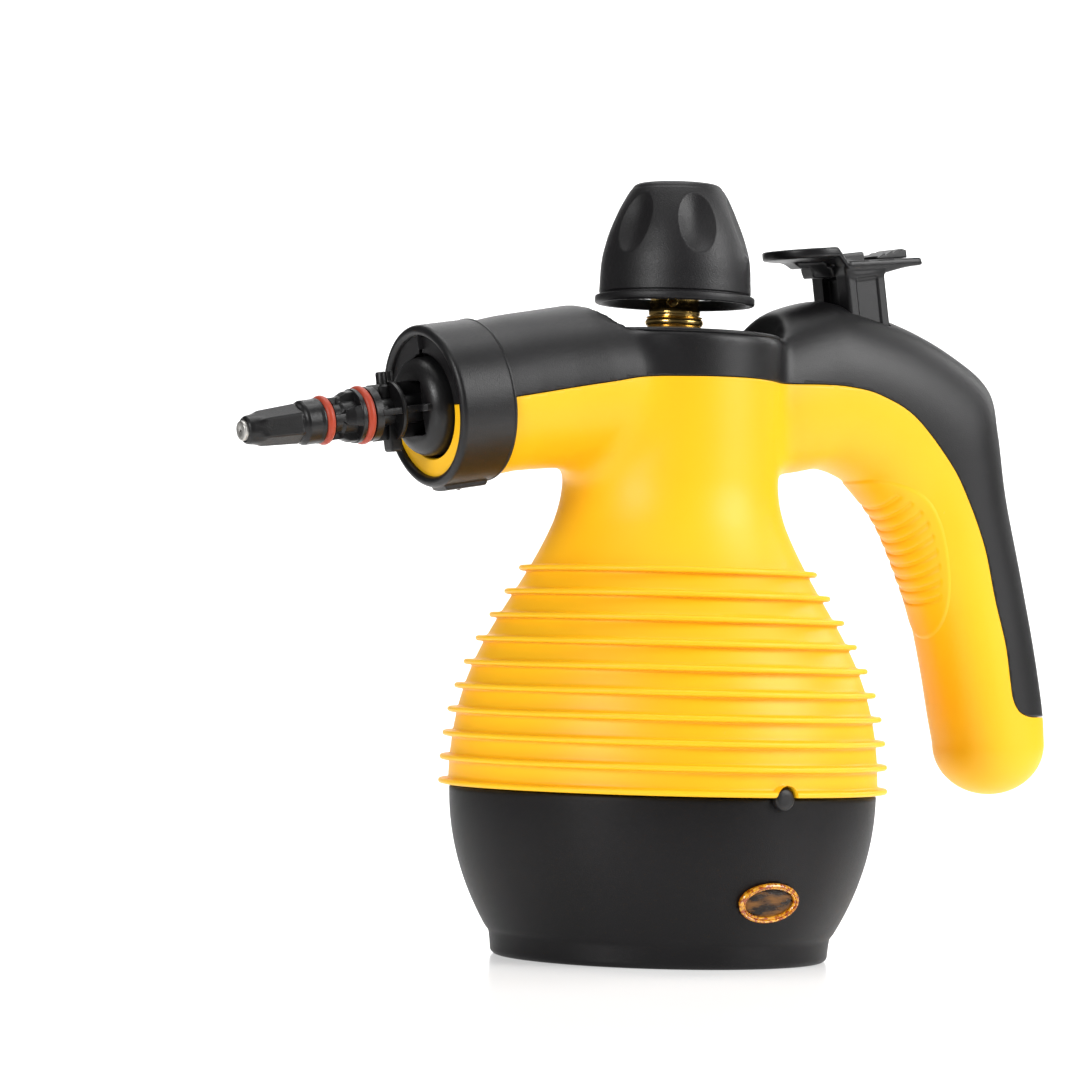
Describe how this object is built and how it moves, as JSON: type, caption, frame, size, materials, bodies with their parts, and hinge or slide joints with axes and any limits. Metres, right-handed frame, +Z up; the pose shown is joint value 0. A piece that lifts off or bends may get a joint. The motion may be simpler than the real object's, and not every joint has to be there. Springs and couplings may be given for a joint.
{
  "type": "steam cleaner",
  "caption": "Hand-held steam cleaner with a ribbed boiler housing, hook handle, steam button, finned nozzle and a push-and-turn safety cap.",
  "frame": {"origin": "centre of the base's flat underside, on the body's upright axis", "axes": "+Z up, -X along the nozzle, +X towards the handle; the indicator lens faces -Y"},
  "size_m": [0.2935, 0.1397, 0.2415],
  "materials": {
    "yellow_plastic": "satin moulded, yellow",
    "black_plastic": "fine grained, black",
    "collar_plastic": "satin, black",
    "nozzle_plastic": "satin, heat-resistant black",
    "cap_plastic": "satin, black",
    "button_plastic": "semi-gloss, black",
    "seal_silicone": "orange-red silicone",
    "white_silicone": "white silicone",
    "black_rubber": "matte black",
    "brass": "machined",
    "steel": "bright",
    "boiler_aluminium": "die cast",
    "copper_pipe": "drawn copper",
    "amber_lens": "clear amber, polished",
    "lamp_glass": "clear",
    "terminal_plastic": "off-white",
    "wire_sleeve": "red silicone sleeve"
  },
  "bodies": {
    "casing": {"body_housing": "yellow_plastic", "top_cover": "black_plastic", "base_cover": "black_plastic", "nozzle_collar": "collar_plastic", "nozzle_hub": "nozzle_plastic", "steam_nozzle": "nozzle_plastic", "nozzle_tip": "steel", "front_o_ring": "seal_silicone", "rear_o_ring": "seal_silicone", "indicator_lens": "amber_lens", "indicator_lamp": "lamp_glass", "cord_gland": "black_rubber", "boiler_lower": "boiler_aluminium", "boiler_upper": "boiler_aluminium", "boiler_gasket": "white_silicone", "heating_element": "steel", "thermostat": "terminal_plastic", "thermal_fuse": "steel", "terminal_block": "terminal_plastic", "element_wire_a": "wire_sleeve", "element_wire_b": "wire_sleeve", "lamp_wire_a": "wire_sleeve", "lamp_wire_b": "wire_sleeve", "filler_neck": "brass", "neck_seal": "white_silicone", "valve_body": "brass", "valve_plug": "brass", "valve_spring": "steel", "button_spring": "steel", "valve_inlet_tube": "copper_pipe", "steam_tube": "copper_pipe", "cover_screw": "steel", "boiler_screw_1": "steel", "boiler_screw_2": "steel", "boiler_screw_3": "steel", "boiler_screw_4": "steel", "base_screw_1": "steel", "base_screw_2": "steel", "base_screw_3": "steel"},
    "button": {"steam_button": "button_plastic"},
    "lock": {"lock_slider": "button_plastic"},
    "valve_plunger": {"valve_plunger": "steel"},
    "cap_seal": {"cap_gasket": "white_silicone"},
    "cap_core": {"cap_core": "brass", "relief_screw": "brass", "cap_spring": "steel", "relief_spring": "steel"},
    "cap_knob": {"cap_shell": "cap_plastic", "cap_retainer": "steel"},
    "relief_valve": {"relief_poppet": "steel"}
  },
  "joints": [
    {"name": "button_press", "type": "slide", "parent": "casing", "child": "button", "axis": [0.1564, 0, -0.9877], "range_m": [0, 0.0055], "stiffness_N_per_m": 600, "springref_m": -0.004, "deforming": ["button_spring"]},
    {"name": "lock_slide", "type": "slide", "parent": "button", "child": "lock", "axis": [-0.9877, 0, -0.1564], "range_m": [0, 0.004]},
    {"name": "valve_press", "type": "slide", "parent": "casing", "child": "valve_plunger", "axis": [0.1564, 0, -0.9877], "range_m": [0, 0.0055], "deforming": ["valve_spring"]},
    {"name": "cap_lift", "type": "slide", "parent": "casing", "child": "cap_seal", "axis": [0, 0, 1], "range_m": [0, 0.0101]},
    {"name": "cap_turn", "type": "hinge", "parent": "cap_seal", "child": "cap_core", "pos_m": [0, 0, 0.2], "axis": [0, 0, 1], "range_deg": [0, 1440]},
    {"name": "cap_press", "type": "slide", "parent": "cap_core", "child": "cap_knob", "axis": [0, 0, -1], "range_m": [0, 0.0045], "stiffness_N_per_m": 900, "springref_m": -0.003, "deforming": ["cap_spring"]},
    {"name": "relief_lift", "type": "slide", "parent": "cap_core", "child": "relief_valve", "axis": [0, 0, 1], "range_m": [0, 0.0015], "stiffness_N_per_m": 800, "springref_m": -0.002, "deforming": ["relief_spring"]}
  ],
  "couplings": [
    {"joint": "valve_press", "follows": "button_press", "ratio": 1},
    {"joint": "cap_lift", "follows": "cap_turn", "m_per_rad": 0.00039789}
  ]
}
